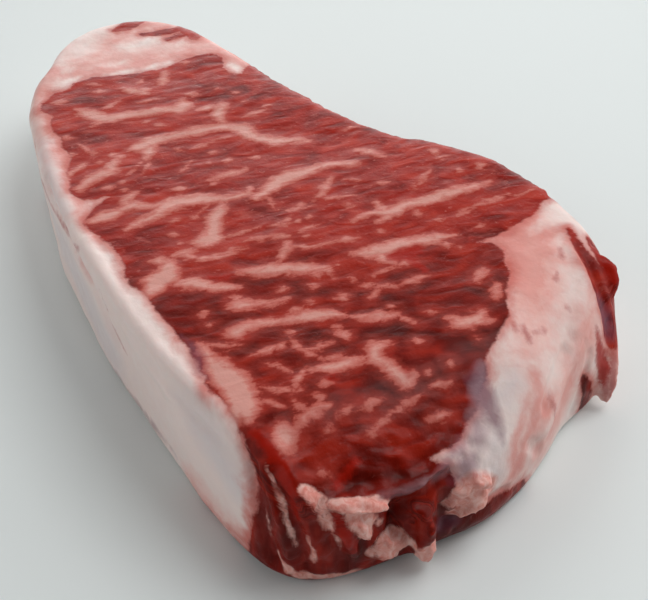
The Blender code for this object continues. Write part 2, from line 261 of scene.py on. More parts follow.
# Short strands between the seams: both ends and the half width
SHORT_STRANDS = (
    (-65, -17.5, -64, -18.5, 0.7), (-70, -0.4, -69.2, -1.4, 1.2), (-70.8, -31.2, -69, -31.2, 1.1),
    (-65.5, -30.3, -65, -31, 1.1), (-65.5, -42.8, -65, -43.2, 1.4), (-50.3, -6.2, -49.8, -7, 1.2),
    (-55.9, -29.2, -54.8, -32, 1.3), (-38.9, -20.3, -38.3, -22.5, 1.2), (-42, -23.5, -42, -24.5, 0.8),
    (-52.8, -18, -53.5, -21.5, 0.8), (-23.7, -12, -23.1, -16.4, 1.1), (-22.5, -4.5, -23.5, -8, 0.8),
    (-31.2, 7, -30.8, 4, 1.2), (-33, 10.6, -33, 9.6, 1.0), (-38.8, 6.5, -38.8, 5.5, 0.8),
    (-49.5, 2, -49, 0.5, 1.0), (-45, 6, -45, 5, 0.7), (-28, -42.5, -27.6, -43.5, 0.9),
    (-33.3, -43, -33, -44, 0.9), (-29.5, -38, -29.5, -38.8, 1.0), (-39, -45, -35, -44.5, 0.8),
    (-45.3, -47, -45, -47.6, 1.2), (-35.5, -48.8, -35.3, -49.6, 1.2), (-21.5, -31.5, -18.5, -33.5, 0.8),
    (-22, -34, -19, -38, 0.5), (-24.5, -20.6, -24.4, -21.4, 0.7), (-12.6, -11.2, -12.6, -12, 1.0),
    (-13.4, -16, -13.2, -17, 0.7), (-3.3, -19, -3.3, -20, 0.8), (-5.5, -28, -5.5, -28.9, 1.1),
    (-16, -21.5, -14.5, -23, 0.7), (-18, -13, -18, -13.8, 0.8), (6, -27, 5.2, -25, 0.7),
    (7.8, -29.6, 7.8, -30.4, 0.7), (6.8, -34.5, 6.8, -35.5, 0.9), (12.5, -37, 12.4, -38, 1.0),
    (16.5, -36.5, 16.5, -37.5, 0.6), (20, -17, 19, -24, 0.8), (20.5, -36, 20.5, -39, 1.4),
    (20.8, -43, 21.2, -44.2, 1.8), (-15.3, -44, -15.3, -45, 1.0), (-16, -40, -16, -41, 0.6),
    (-12.5, -41, -12.5, -42, 0.6), (18, 20, 18, 20.7, 1.0), (15.5, 40.6, 15.5, 41.5, 0.8),
    (-10.5, 25.8, -10.3, 26.8, 1.1), (-10, -3.6, -10, -4.4, 1.0), (18, -2.5, 17, -6.5, 0.8),
    (14, -9, 11, -9, 0.6), (13, 15.5, 12, 13.5, 0.6), (49.8, 9, 49.8, 10, 1.2),
    (50, 7, 49.5, 3, 0.6), (49.5, 3, 50, 0, 0.6), (56, 9, 56, 6, 1.2), (54.8, 1, 53, -2, 1.0),
    (53, -2, 52.3, -4, 0.8), (55, -2.5, 57, -5.2, 0.4), (35, 2, 34.5, -1, 1.2),
    (34, -4, 33, -9, 0.9), (33, -9, 31, -13, 0.9), (36, 10.4, 36, 9.4, 0.8),
    (22.5, 8, 22.5, 7, 0.9), (38, 33, 38.8, 30.8, 0.9), (37, 43, 38, 36, 0.6), (38, 36, 38.8, 31, 0.6),
    (37.5, 47, 38.3, 40, 0.5), (11.5, 42.3, 12.3, 39.5, 1.5), (20, 33.5, 23, 28.5, 0.9),
    (39, 53.5, 38.5, 50, 0.6), (46, 33.8, 46, 33, 0.8), (24, 48.5, 24, 47, 1.4),
    (22.5, 42.5, 22.5, 41.5, 0.9), (38.8, 26, 38.8, 25, 0.8), (34, 22.9, 34, 22, 0.9),
    (51, 24, 51, 23, 0.7), (48.5, 21.9, 48.5, 21, 0.8), (19, 10, 16.5, 2, 0.7),
    (16.5, -3, 16.5, -4, 1.1), (26.8, -4, 27, -8, 0.6), (23, -3.6, 23, -4.4, 0.7),
    (23, -7, 23, -8, 0.6), (20, -8, 23, -11, 0.5), (29, -7, 29, -8, 0.6), (43, -6, 43, -7, 0.5),
    (48.8, -5, 48.8, -6, 0.7), (53.3, -10, 53.3, -11, 1.2), (26.5, -13.5, 25, -17, 1.1),
    (25, -17, 24, -20, 1.1), (22.5, -11, 21, -15, 0.7), (26, -25, 26, -29, 1.3),
    (26, -29, 25.5, -33, 1.3), (25.5, -33, 24, -36, 1.4), (24, -36, 21, -38, 1.3),
    (46.5, -14.6, 46.5, -15.5, 1.0), (51.3, -17.5, 51.3, -18.5, 0.8), (52, -22.2, 52, -23, 1.0),
    (44.3, -21.4, 44.3, -22.2, 0.8), (43.5, -11.6, 43.5, -12.5, 0.8), (42, -32.6, 42, -33.5, 1.0),
    (44, -41.5, 44, -42.5, 1.0), (48, -41.6, 48, -42.4, 0.8), (56.5, -40, 54.5, -44, 0.8),
    (61.5, -31, 61.5, -36.5, 1.2), (59, -26, 59, -27, 0.8), (64.5, -16, 64.5, -17, 1.3),
    (62, -16.1, 62, -17, 0.8), (65.3, -21.5, 65.3, -24, 0.9), (62.5, -27.5, 65, -27, 1.0),
    (65, -27, 67.5, -25, 1.0), (70, -21, 69.5, -23, 0.8), (66, -35.5, 69.5, -33, 0.6),
    (71.3, -30.2, 74, -33, 1.1), (74.5, -34.5, 72.5, -38.5, 1.0), (82, -32, 82.3, -35, 1.5),
    (82.3, -35, 83.7, -37.5, 1.3), (79, -35, 81, -35, 0.8), (77.5, -38.5, 76, -40, 0.7),
    (85, -19.5, 84.8, -22, 1.0), (88.5, -19, 90, -22.5, 0.7), (83.8, -24.5, 84.2, -27.5, 0.8),
    (76.5, -27, 76.5, -28, 1.1), (86, -31, 86, -32, 0.8), (79, -30, 79, -31, 0.9),
    (87.3, -10, 88, -16, 0.7), (94, -36.6, 94.2, -37.6, 1.0), (67.5, 6, 67.5, 5, 1.0),
    (61.5, -1.6, 61.5, -2.5, 0.8), (74.5, -2.4, 74.5, -3.2, 0.8), (80, 10.4, 80, 9.6, 0.5),
    (83, 1.2, 83, 0.4, 0.5), (86.8, -2, 86.6, -6, 0.7), (83.3, -4.6, 83.3, -5.4, 0.6),
    (82.3, -8.6, 82.3, -9.4, 0.9), (92.3, -5.5, 92.3, -9, 0.7), (69, 0, 66, -2, 0.6),
    (76.3, 15.4, 76.3, 14.6, 0.8),
)
EYE_TOP = 36.0
# Fat torn out among the lean at the thick end: x, y, z and radius along each
TORN_FAT = (
    ((95.4, -42.4, 28.8, 1.0), (97.4, -41, 27.8, 1.6), (99.3, -39.9, 24.8, 1.8), (101.2, -39, 20.6, 1.5)),
    ((100.2, -38, 26, 1.4), (102, -34, 26, 2.6), (103.6, -29.5, 25.6, 2.8), (104.6, -26.3, 24.4, 1.3)),
    ((102.4, -33.6, 23.5, 3.4), (104.4, -31.4, 20, 3.2), (104.4, -31.4, 16, 1.6)),
    ((100.9, -39, 20.4, 0.8), (101.9, -36.9, 13.8, 0.9), (102.2, -34.8, 9.6, 0.8)),
    ((103.8, -29.4, 10, 2.2), (105.2, -26.2, 11, 4.0), (105.8, -22.8, 8.5, 2.6)),
    ((107.5, -18.6, 2.5, 3.4), (108, -17.6, 7, 3.2), (106.6, -15.6, 9.8, 1.6)),
    ((103.8, -11, 14.8, 1.6), (104.8, -8.4, 17.6, 2.6), (105, -5, 19, 3.0), (105.2, -1, 16.6, 2.4)),
    ((105, -9, 11.4, 2.0), (105.6, -5.4, 12.8, 3.0), (105.6, -1.6, 13.2, 2.2)),
    ((94.6, -48.6, 9, 0.7), (97.2, -46.2, 3.4, 1.5), (101, -39.2, 2.2, 1.6), (103, -32.4, 2.2, 1.0)),
    ((88.4, -46.6, 31.2, 0.1), (92.5, -46.9, 28, 0.4), (95.3, -46.7, 24.2, 0.7), (97, -46.5, 19.7, 0.6),
     (97.9, -46, 14, 0.1)),
    ((90.5, -49.2, 22, 0.1), (92.2, -49.4, 17, 0.3), (93.2, -49.2, 12, 0.1)),
    ((99.8, -43.6, 17, 0.4), (100.2, -42.8, 12, 0.6), (100, -42.4, 8, 0.4)),
    ((103.4, -27.8, 17.6, 1.0), (103.8, -26.4, 18.4, 1.0)),
)
# Silvery membrane: x, y, z and radius along each
SILVER_SKIN = (
    ((86.5, 7.5, 33, 1.2), (90.5, 3.8, 31, 2.0), (95.5, 0.5, 29, 2.6), (99.5, -1.5, 26.5, 2.8)),
    ((101.8, -27.6, 24.8, 0.7), (103.2, -22.4, 24.4, 1.0), (103.2, -17.4, 25, 1.1),
     (101.8, -11.4, 26, 1.2), (99.2, -5, 27, 1.4)),
    ((102.6, -14, 24, 1.2), (102.2, -9, 24.6, 1.6), (101.8, -4, 24.6, 2.0)),
    ((45, 57, 33, 2.0), (52, 58.5, 32, 2.4)),
)
# Grey-violet: thin membrane over lean, and painted shade low on the cap's foot where the wall turns under
VIOLET = (
    ((86.2, 6.1, 33.2, 1.0), (89, 4.6, 32, 2.2), (92.1, 4.4, 30.3, 3.0), (95.3, 4.6, 28.8, 2.8),
     (98, 4.2, 26.6, 1.8), (100.1, 4.6, 23.8, 0.8)),
    ((100.6, -14, 27.5, 1.2), (100.2, -8, 27.6, 1.8), (98.6, -3, 28.2, 1.8)),
    ((103.6, -12.5, 7.5, 1.6), (104.6, -8.5, 7.2, 1.2)),
    ((103.6, -9, 21.5, 1.8), (103.6, -5, 23.5, 1.6)),
    ((48, -49.5, 35.5, 0.2), (54, -49.2, 35.5, 1.0), (60, -49.3, 35.4, 1.0), (64, -49, 35.3, 0.2)),
    ((75, 50.5, 28, 1.2), (78.5, 51, 23.5, 2.4), (81, 50.8, 19, 1.8)),
    # painted shade: grey-violet low along the cap's foot, where the wall turns under
    ((18, -59.6, 3, 1.0), (41, -58.6, 4, 1.4), (56, -57.2, 6, 0.8)),
)
# Grey-white fat, thick and cold looking, beside the membrane
COLD_FAT = (
    ((91.5, 12.6, 31, 2.0), (93.4, 9.2, 29.9, 2.4)),
    ((99.5, 3, 24.8, 2.4), (102.2, 1, 20, 3.0), (103, 2.5, 17.5, 2.4)),
    ((62, -53, 30, 3.0), (74, -53.2, 27, 5.0), (84, -51.6, 22, 4.0)),
    ((-30, -58, 20, 5.0), (-5, -59.5, 18, 8.0), (20, -59.5, 12, 8.0)),
    ((-46, -53.6, 33.4, 1.5), (-40.7, -54.6, 33.6, 1.6), (-20.5, -57.6, 33.6, 1.8), (-9.6, -58.4, 33.6, 1.2)),
)
# Small vessels and torn threads in the fat
VEINS = (
    ((-52, -55, 30, 0.5), (-40, -57.2, 28.5, 0.9), (-26, -58.6, 28, 0.9), (-13, -59.4, 28.5, 0.8),
     (0, -60, 31, 0.9), (5, -60, 32.5, 0.5)),
    ((19.6, -59.8, 29.6, 0.5), (20.7, -59.8, 27.6, 1.2), (21.6, -59.7, 25.5, 0.6)),
    ((23, -59.6, 24.5, 0.4), (26.8, -59.2, 23.4, 0.6), (31.5, -58.6, 19.7, 0.3)),
    ((80.9, 22, 34.9, 0.5), (82.6, 21.6, 34.4, 1.0), (84.3, 21.2, 33.7, 0.5)),
    ((83.2, 24, 33.5, 0.4), (82.6, 27.5, 32, 0.7)),
    ((79.4, 20.2, 35.3, 0.4), (81, 19.6, 35.1, 0.5)),
    ((62.6, 45.9, 35, 0.4), (64.9, 44.6, 34.9, 0.8)),
    ((68.6, 40.3, 34.6, 0.3), (70.3, 39, 34.3, 0.5)),
    ((76.9, 37.7, 31.4, 0.4), (77.9, 38, 30.7, 0.5)),
    ((93.6, 22, 22.3, 0.5), (94.5, 22.4, 19.5, 0.9), (95, 22.4, 17, 0.5)),
    # streaks down the corner flap
    ((81.2, 45, 24, 0.5), (82.8, 45.8, 19, 1.2), (84.8, 46.6, 14, 1.5), (86.6, 47, 9.5, 1.5),
     (87.6, 46.6, 4, 1.0)),
    ((81.5, 50.5, 19.5, 0.5), (84, 50.4, 15, 1.2), (86.4, 49.2, 10.8, 1.4), (87.8, 48.4, 5, 1.0)),
)
# Flushed fat: x, y, z and radius along each
FLUSH = (
    # between the tail's creamy fat and the eye
    ((-88, -41, 33, 3.5), (-80, -38, 33, 3.0), (-76.5, -22, 33, 3.0), (-75, -4, 33, 3.0),
     (-73, 8, 33, 3.5), (-66, 14, 33, 4.5), (-60, 16, 33, 3.0)),
    ((-98, 2, 32, 4.5), (-88, 1, 32, 3.0), (-80, 11, 32, 3.0)),
    # upper edge of the fat wrap, and its patches
    ((50, 44, 35, 3.6), (54, 37, 35, 4.0), (61, 34, 35, 3.2), (68, 29, 34, 2.6)),
    ((56, 47, 35, 2.0), (62, 42, 34, 1.6)),
    ((70, 33, 33, 1.6), (72, 31, 33, 1.2)),
    ((84, 17, 32, 1.4), (88, 14, 31, 1.4)),
    ((95, 18, 25, 2.2), (99.5, 12, 19.5, 2.8), (101.8, 8.5, 13, 2.4)),
    ((93.3, 22.3, 23, 0.9), (94.4, 22.8, 19.5, 0.9)),
    ((90.5, 18.9, 30.3, 1.5), (95.4, 18.9, 22.4, 2.4)),
    ((95, 14.9, 26.7, 1.6), (97.6, 10.9, 24.7, 2.0), (100.4, 8, 21, 2.0), (101.8, 7.4, 16.5, 1.8)),
    ((-60, -47, 33, 2.2), (-44.5, -49.8, 33.5, 2.4), (-20.5, -53.2, 34.3, 2.2), (-4, -54.6, 34.5, 1.4)),
    # salmon fat along the cap's inner edge
    ((58, -45, 35, 1.6), (66, -45.6, 35, 2.6), (75, -46, 35, 3.0), (81, -47, 34.5, 2.2)),
    ((-22, -53.5, 34, 1.2), (-8, -55.5, 34, 1.6), (4, -56, 34, 1.2)),
    # threads down the cap
    ((-74, -50, 12, 1.0), (-58, -54, 21, 1.1), (-42, -55, 30, 0.8)),
    ((-60, -54, 9, 0.7), (-44, -57, 18, 0.8), (-30, -58.5, 25, 0.6)),
    ((-24, -58.6, 32, 0.7), (-3, -60, 30.5, 0.9), (6.5, -60.2, 28.6, 1.0), (15.4, -60, 26.8, 0.7)),
    ((84.5, -50, 28, 1.0), (88.2, -50.6, 20, 1.4), (90, -50.6, 12, 1.2)),
)
# Rosy fat: x, y, z and radius along each
ROSY = (
    ((-100, -6, 32, 5.0), (-84, -30, 33, 5.0), (-80, -6, 33, 5.0), (-78, 10, 33, 5.0), (-64, 20, 33, 5.0)),
    ((-96, -28, 26, 4.0), (-80, -44, 26, 5.0), (-60, -50, 24, 4.0)),
    ((48, 42, 35, 9.0), (60, 38, 34, 10.0), (70, 31, 32, 10.0), (79, 23, 30, 8.0), (86, 16, 28, 6.0)),
    ((-84, -44, 33, 4.0), (-60, -50, 33.5, 3.5), (-30, -54, 34, 2.5), (-8, -55, 34.5, 1.0)),
    ((66, -56, 4, 4.0), (88, -49, 5, 5.0)),
    ((76, 46, 26, 6.0), (86, 34, 20, 7.0), (92, 26, 14, 7.0), (99, 16, 10, 5.0)),
    ((94, 20, 22, 4.0), (101, 9, 16, 4.0), (102, 4, 10, 4.0)),
    ((45, 56, 20, 9.0), (66, 58, 14, 9.0), (84, 50, 8, 7.0)),
)
# Pools of bright wet juice: x, y, z and radius along each
JUICE = (
    ((46.5, 14.5, 35, 1.2), (46.5, 10, 35, 2.4), (46.5, 6.5, 35, 1.4)),
    ((49, 11, 35, 1.4), (54, 12, 35, 0.8)),
    ((75, -9.2, 34, 1.0), (81, -9.6, 33, 1.2)),
    ((75.2, -22.5, 34, 1.2), (76, -26, 34, 1.7), (75.8, -29.5, 34, 1.0)),
    ((34.5, -31, 35, 0.8), (32.5, -35, 35, 0.9)),
    ((94, -29, 29, 0.8), (97, -35, 28, 0.8)),
    ((81.5, -46.8, 34.4, 0.8), (86, -45, 33, 1.3), (90, -44.2, 31, 1.2), (94.2, -44.6, 28.2, 0.9),
     (97.8, -44.2, 23.5, 0.7)),
    ((61.2, 56.9, 33, 0.8), (67.7, 56.4, 31.2, 1.4), (71.5, 57, 28.5, 1.6)),
    ((101.4, -38, 22.8, 1.0), (103.4, -36, 19, 1.4), (104, -34.4, 14, 1.0)),
    ((-59, 20, 32, 1.6), (-54, 15, 32, 1.8), (-50, 13, 32, 1.4)),
    ((-90, 9, 32, 1.2), (-86, 8, 32, 1.0)),
    # red streak down the corner flap
    ((82, 45, 22, 0.8), (84, 46, 17, 2.2), (85.5, 46.5, 13, 2.2), (86.5, 46, 9, 1.0)),
)
# Creases and rolls: how far each stands out, then x, y, z and reach along it
CREASES = (
    # beside the fat at the near corner, and the roll of lean above it
    (-1.1, ((86, -49.4, 29.5, 1.2), (89.6, -49.6, 24, 1.6), (92.6, -49.4, 14, 1.6), (94, -48.8, 5, 1.0))),
    (-1.3, ((90, -46, 30.2, 1.2), (95.6, -45.6, 25, 1.7), (98.6, -45, 17, 1.7), (99.4, -44.2, 7, 1.2))),
    (0.9, ((82.8, -46.3, 34, 1.8), (87.5, -44.8, 32.3, 2.4), (92.3, -44.3, 29.7, 2.2),
     (97.4, -43.6, 25.4, 1.8))),
    (0.8, ((88.4, -47.8, 31, 1.0), (92.8, -47.8, 27, 1.4), (96.6, -47, 20, 1.4), (97.6, -46.6, 11, 1.2))),
    (-1.0, ((100.4, -40.6, 22, 1.4), (101.6, -38, 15, 1.6), (102, -36.4, 8, 1.2))),
    # the step in the lean under its membrane
    (-1.2, ((103, -24, 21.6, 1.6), (103.4, -17, 22.4, 1.8), (102.6, -11.5, 23.2, 1.6))),
    (-0.9, ((98, -33, 28.2, 1.8), (99.6, -24, 27.2, 2.2), (99.6, -15, 27.4, 2.0))),
    (-1.2, ((103.6, -12.8, 19, 1.4), (104.2, -13, 12, 1.4), (104.4, -11.6, 8.4, 1.2))),
    (-1.1, ((105, -10.4, 8.4, 1.2), (106, -5, 9.4, 1.4), (105, 1, 10.6, 1.4), (103.4, 6, 8.4, 1.0))),
    # folds of the fat wrap
    (0.9, ((97.4, 19.3, 17, 1.8), (92.9, 25, 21.2, 2.6), (88.4, 31, 22.2, 2.4), (85.4, 36, 23.4, 1.8))),
    (-0.7, ((95, 20.4, 22.4, 1.6), (90.8, 25.6, 24.6, 1.8), (86, 31.6, 25.8, 1.6))),
    (0.7, ((64, 49.6, 34.4, 1.6), (74.3, 47.1, 30.2, 2.4), (81.8, 39, 26.5, 2.4))),
    (-1.2, ((64, 51, 34, 1.2), (73, 50.6, 29.6, 1.6), (79, 50.4, 22, 1.6), (83, 48.4, 14, 1.4))),
    (-0.8, ((85.6, 41.4, 20, 1.2), (88.2, 38.2, 12, 1.4), (89.4, 36.6, 5, 1.2))),
    (-0.6, ((100, 13.6, 17, 1.4), (98.6, 17.2, 11, 1.4))),
    # the crease along the fat cap, and the bevel over it
    (-0.8, ((-30, -57.8, 32, 0.9), (-14, -59.2, 30.8, 1.2), (6, -60.2, 29.2, 1.5), (15, -60, 27.4, 1.5),
            (22, -59.8, 23.4, 1.2), (27, -59.4, 18.6, 0.8))),
    (0.4, ((-40, -54, 33, 1.6), (-10, -57.6, 33, 2.0), (30, -58, 31, 2.4), (56, -56, 28, 2.0))),
    (-0.7, ((18.5, -60, 29, 1.0), (22.5, -60, 26.4, 1.2))),
    (0.45, ((4, -57.6, 34.6, 1.2), (26, -57.6, 35.2, 1.4), (36, -57.8, 34.7, 1.4), (50, -55.9, 35.3, 1.4),
            (63, -53.2, 35.1, 1.4), (72, -51, 34.5, 1.2), (80, -50.4, 31.7, 1.0))),
    (-0.4, ((6, -60, 31.4, 1.2), (28, -59.6, 31.8, 1.4), (51, -58.4, 31.6, 1.4), (66, -55.6, 31, 1.4),
            (76, -52.8, 30, 1.0))),
)


def random_swell(points, length, seed=0.0):
    """A smooth random value, about -1 to 1, for each point; length is the size of a swell."""
    return np.array([noise.noise(Vector(point)) for point in points / length + seed])


def smooth_step(low, high, value):
    part = np.clip((value - low) / (high - low), 0.0, 1.0)
    return part * part * (3.0 - 2.0 * part)


GRAIN = np.array((0.24, 0.97))


def strand_depth(points, strands):
    """How far inside the nearest strand each point lies, negative outside it."""
    deepest = np.full(len(points), -99.0)
    for strand in strands:
        stops = np.array(strand, dtype=float)
        for near, far in zip(stops, stops[1:]):
            run = far[:-1] - near[:-1]
            part = np.clip((points - near[:-1]) @ run / max(run @ run, 1e-9), 0.0, 1.0)
            gap = np.linalg.norm(points - near[:-1] - part[:, None] * run, axis=1)
            deepest = np.maximum(deepest, near[-1] + part * (far[-1] - near[-1]) - gap)
    return deepest


def outline_depth(points, outline):
    """Distance inside a closed outline in plan, negative outside it."""
    corners = np.array(outline, dtype=float)
    inside = np.zeros(len(points), dtype=bool)
    nearest = np.full(len(points), 999.0)
    x, y = points.T
    for (x0, y0), (x1, y1) in zip(corners, np.roll(corners, -1, axis=0)):
        run = np.array((x1 - x0, y1 - y0))
        part = np.clip(((x - x0) * run[0] + (y - y0) * run[1]) / (run @ run), 0.0, 1.0)
        nearest = np.minimum(nearest, np.hypot(x - x0 - part * run[0], y - y0 - part * run[1]))
        crosses = (y0 > y) != (y1 > y)
        rise = y1 - y0 if y1 != y0 else 1.0
        inside ^= crosses & (x < x0 + (y - y0) * (x1 - x0) / rise)
    return np.where(inside, nearest, -nearest)


count = len(flesh_mesh.vertices)
places = np.empty(count * 3)
flesh_mesh.vertices.foreach_get("co", places)
places = places.reshape(count, 3)
facing = np.empty(count * 3)
flesh_mesh.vertices.foreach_get("normal", facing)
facing = facing.reshape(count, 3)
below_top = np.clip(EYE_TOP - places[:, 2], 0.0, EYE_TOP) / EYE_TOP

# The pattern wanders a little, and drifts aside towards the underside
wander = np.stack([random_swell(places, 9.0, 3.0 + axis) for axis in range(3)], axis=1) * 0.9
wander += np.stack([random_swell(places, 2.6, 13.0 + axis) for axis in range(3)], axis=1) * 0.5
drift = np.stack((random_swell(places, 31.0, 21.0), random_swell(places, 31.0, 27.0)), axis=1)
pattern = places + wander
plan = pattern[:, :2] + drift * (9.0 * smooth_step(0.12, 1.0, below_top))[:, None]

# On the bone side the fat and lean meet in an uneven line down the wall
bone_side = smooth_step(0.0, 14.0, places[:, 1]) * (1.0 - smooth_step(62.0, 74.0, places[:, 0]))
waver = np.stack((random_swell(places, 12.0, 33.0), random_swell(places, 12.0, 37.0)), axis=1)
plan += waver * (10.0 * smooth_step(0.04, 0.35, below_top) * bone_side)[:, None]

lean = outline_depth(plan, EYE_OUTLINE)
lean = np.maximum(lean, strand_depth(pattern, LEAN_STRANDS))
short = []
for x0, y0, x1, y1, size in SHORT_STRANDS:
    near, far = np.array((x0, y0)), np.array((x1, y1))
    run = far - near if np.hypot(*(far - near)) > 2.0 * size else GRAIN
    reach = run / np.hypot(*run) * size * 1.9
    short.append(((*(near - reach), 0.1), (*(near + far) / 2, size * 0.95), (*(far + reach), 0.1)))
tapered = []
for strand in SEAMS:
    (x0, y0, r0), (x1, y1, r1) = strand[0], strand[-1]
    tapered.append(((x0, y0, r0 * 0.5), *strand[1:-1], (x1, y1, r1 * 0.5)))
seam = np.maximum(strand_depth(plan, tapered) + 0.3, strand_depth(plan, short))
torn = strand_depth(pattern, TORN_FAT)
silver = strand_depth(pattern, SILVER_SKIN)
juice = strand_depth(pattern, JUICE)
violet = strand_depth(pattern, VIOLET)
vein = strand_depth(pattern, VEINS)
cold = strand_depth(pattern, COLD_FAT)
flush = strand_depth(pattern, FLUSH)
rosy = strand_depth(pattern, ROSY)
lean = np.minimum(lean, -torn)
wall = 1.0 - smooth_step(0.25, 0.7, facing[:, 2]) - smooth_step(0.25, 0.7, -facing[:, 2])

# Relief: fibres and swells on the lean, softer dents in the fat, rough torn flesh
thick_end = smooth_step(86.0, 97.0, places[:, 0]) * (1.0 - smooth_step(-6.0, 4.0, places[:, 1]))
is_lean = smooth_step(-0.6, 0.6, lean)
height = random_swell(places, 11.0, 41.0) * 0.3
height += random_swell(places * (1.0, 0.45, 1.0), 2.4, 47.0) * 0.14 * is_lean
height += random_swell(places, 5.0, 53.0) * 0.16 * (1.0 - is_lean)
height += (random_swell(places, 3.4, 59.0) * 0.55 + random_swell(places, 1.7, 61.0) * 0.28) * thick_end
torn_fat = smooth_step(-1.0, 1.0, torn)
height += (random_swell(places, 1.5, 71.0) * 0.4 - np.abs(random_swell(places, 3.0, 73.0)) * 0.9) * torn_fat
edge_rag = smooth_step(27.0, 33.0, places[:, 2]) * smooth_step(0.95, 0.6, facing[:, 2]) * is_lean
height += random_swell(places, 2.6, 67.0) * 0.7 * edge_rag * (1.0 - thick_end)
height += smooth_step(-0.8, 0.8, seam) * 0.12 * is_lean
for rise, path in CREASES:
    reach = np.array(path)[:, 3].max()
    height += rise * smooth_step(-reach, reach * 0.6, strand_depth(places + wander * 0.5, (path,)))
places = places + facing * (height * smooth_step(0.5, 4.0, places[:, 2]))[:, None]
places[:, 2] = np.maximum(places[:, 2], 0.0)

flesh_mesh.vertices.foreach_set("co", (places * MM).ravel())
# Lean darker and browner towards the thick end, partly its own deeper red and partly painted shade where less
# sheen shows; also darker on the bone side's walls
deep_red_and_painted_shade = smooth_step(22.0, 62.0, places[:, 0] - 0.35 * places[:, 1])
deep_red_and_painted_shade *= 1.0 - smooth_step(42.0, 49.0, places[:, 1])
deep_red_and_painted_shade = np.maximum(deep_red_and_painted_shade, 0.75 * bone_side * wall)
for name, values in (("lean", lean), ("seam", seam), ("silver", silver), ("juice", juice),
                     ("violet", violet), ("vein", vein), ("cold", cold), ("flush", flush), ("rosy", rosy),
                     ("torn", torn), ("wall", wall), ("deep_red_and_painted_shade", deep_red_and_painted_shade)):
    layer = flesh_mesh.attributes.new(name, "FLOAT", "POINT")
    layer.data.foreach_set("value", values.astype(np.float32))
flesh_mesh.update()
flesh_mesh.shade_smooth()


def linear(hex_colour):
    """An sRGB hex colour as the linear colour that the shaders take."""
    shares = [int(hex_colour[start:start + 2], 16) / 255 for start in (1, 3, 5)]
    return tuple(s / 12.92 if s <= 0.04045 else ((s + 0.055) / 1.055) ** 2.4 for s in shares) + (1.0,)


def add_node(tree, kind, inputs=(), stops=(), **settings):
    """Add a node with its settings; inputs pairs a socket with a value or another node's output,
    and stops are the places and hex colours of a ramp."""
    new = tree.nodes.new(kind)
    for name, value in settings.items():
        setattr(new, name, value)
    for socket, value in dict(inputs).items():
        if isinstance(value, bpy.types.NodeSocket):
            tree.links.new(value, new.inputs[socket])
        else:
            new.inputs[socket].default_value = value
    for index, (position, colour) in enumerate(stops):
        elements = new.color_ramp.elements
        stop = elements[index] if index < 2 else elements.new(position)
        stop.position = position
        stop.color = linear(colour)
    return new


# Raw beef: wet red muscle with coarse fibres, marbled with fat, and firm creamy fat round it.
# Light goes a few millimetres into both, and a film of juice gives a soft gloss.
GRAIN_TURN = math.radians(-14)

beef = bpy.data.materials.new("raw_beef_lean_and_fat")
beef.use_nodes = True
tree = beef.node_tree
tree.nodes.clear()
ends = add_node(tree, "ShaderNodeOutputMaterial")
here = add_node(tree, "ShaderNodeTexCoord")
in_mm = add_node(tree, "ShaderNodeMapping", {"Vector": here.outputs["Object"], "Scale": (1000, 1000, 1000)})
mm = in_mm.outputs["Vector"]
lean_at = add_node(tree, "ShaderNodeAttribute", attribute_name="lean").outputs["Fac"]
seam_at = add_node(tree, "ShaderNodeAttribute", attribute_name="seam").outputs["Fac"]
silver_at = add_node(tree, "ShaderNodeAttribute", attribute_name="silver").outputs["Fac"]
juice_at = add_node(tree, "ShaderNodeAttribute", attribute_name="juice").outputs["Fac"]
violet_at = add_node(tree, "ShaderNodeAttribute", attribute_name="violet").outputs["Fac"]
vein_at = add_node(tree, "ShaderNodeAttribute", attribute_name="vein").outputs["Fac"]
cold_at = add_node(tree, "ShaderNodeAttribute", attribute_name="cold").outputs["Fac"]
flush_at = add_node(tree, "ShaderNodeAttribute", attribute_name="flush").outputs["Fac"]
rosy_at = add_node(tree, "ShaderNodeAttribute", attribute_name="rosy").outputs["Fac"]
torn_at = add_node(tree, "ShaderNodeAttribute", attribute_name="torn").outputs["Fac"]
wall_at = add_node(tree, "ShaderNodeAttribute", attribute_name="wall").outputs["Fac"]
deep_red_and_shade_at = add_node(tree, "ShaderNodeAttribute", attribute_name="deep_red_and_painted_shade").outputs["Fac"]

# fibre bundles: two or three millimetres across, along the grain on the cut face and
# upright on the walls
along = add_node(tree, "ShaderNodeMapping", {"Vector": mm, "Rotation": (0, 0, GRAIN_TURN)},
                 vector_type="TEXTURE")
face_fibre = add_node(tree, "ShaderNodeMapping", {"Vector": along.outputs["Vector"],
                      "Scale": (1.0, 0.42, 0.5)})
wall_fibre = add_node(tree, "ShaderNodeMapping", {"Vector": mm, "Scale": (0.9, 0.9, 0.22)})
fibre_place = add_node(tree, "ShaderNodeMix", {0: wall_at, 4: face_fibre.outputs["Vector"],
                       5: wall_fibre.outputs["Vector"]}, data_type="VECTOR")
fibre = fibre_place.outputs[1]
bundle = add_node(tree, "ShaderNodeTexNoise", {"Vector": fibre, "Scale": 0.26, "Detail": 2.0,
                  "Roughness": 0.4, "Distortion": 1.0})
strand = add_node(tree, "ShaderNodeTexNoise", {"Vector": fibre, "Scale": 0.62, "Detail": 3.0,
                  "Roughness": 0.55, "Distortion": 0.7})
crumb = add_node(tree, "ShaderNodeTexNoise", {"Vector": mm, "Scale": 1.0, "Detail": 3.0,
                 "Roughness": 0.6})
crumb_mm = add_node(tree, "ShaderNodeMath", {0: crumb.outputs["Fac"], 1: 0.5}, operation="SUBTRACT")
strand_mm = add_node(tree, "ShaderNodeMath", {0: strand.outputs["Fac"], 1: 0.5}, operation="SUBTRACT")
patch_place = add_node(tree, "ShaderNodeMapping", {"Vector": fibre, "Scale": (1.0, 1.4, 1.0),
                       "Location": (3, 19, 7)})
patches = add_node(tree, "ShaderNodeTexNoise", {"Vector": patch_place.outputs["Vector"], "Scale": 0.11,
                   "Detail": 2.0, "Distortion": 0.8})
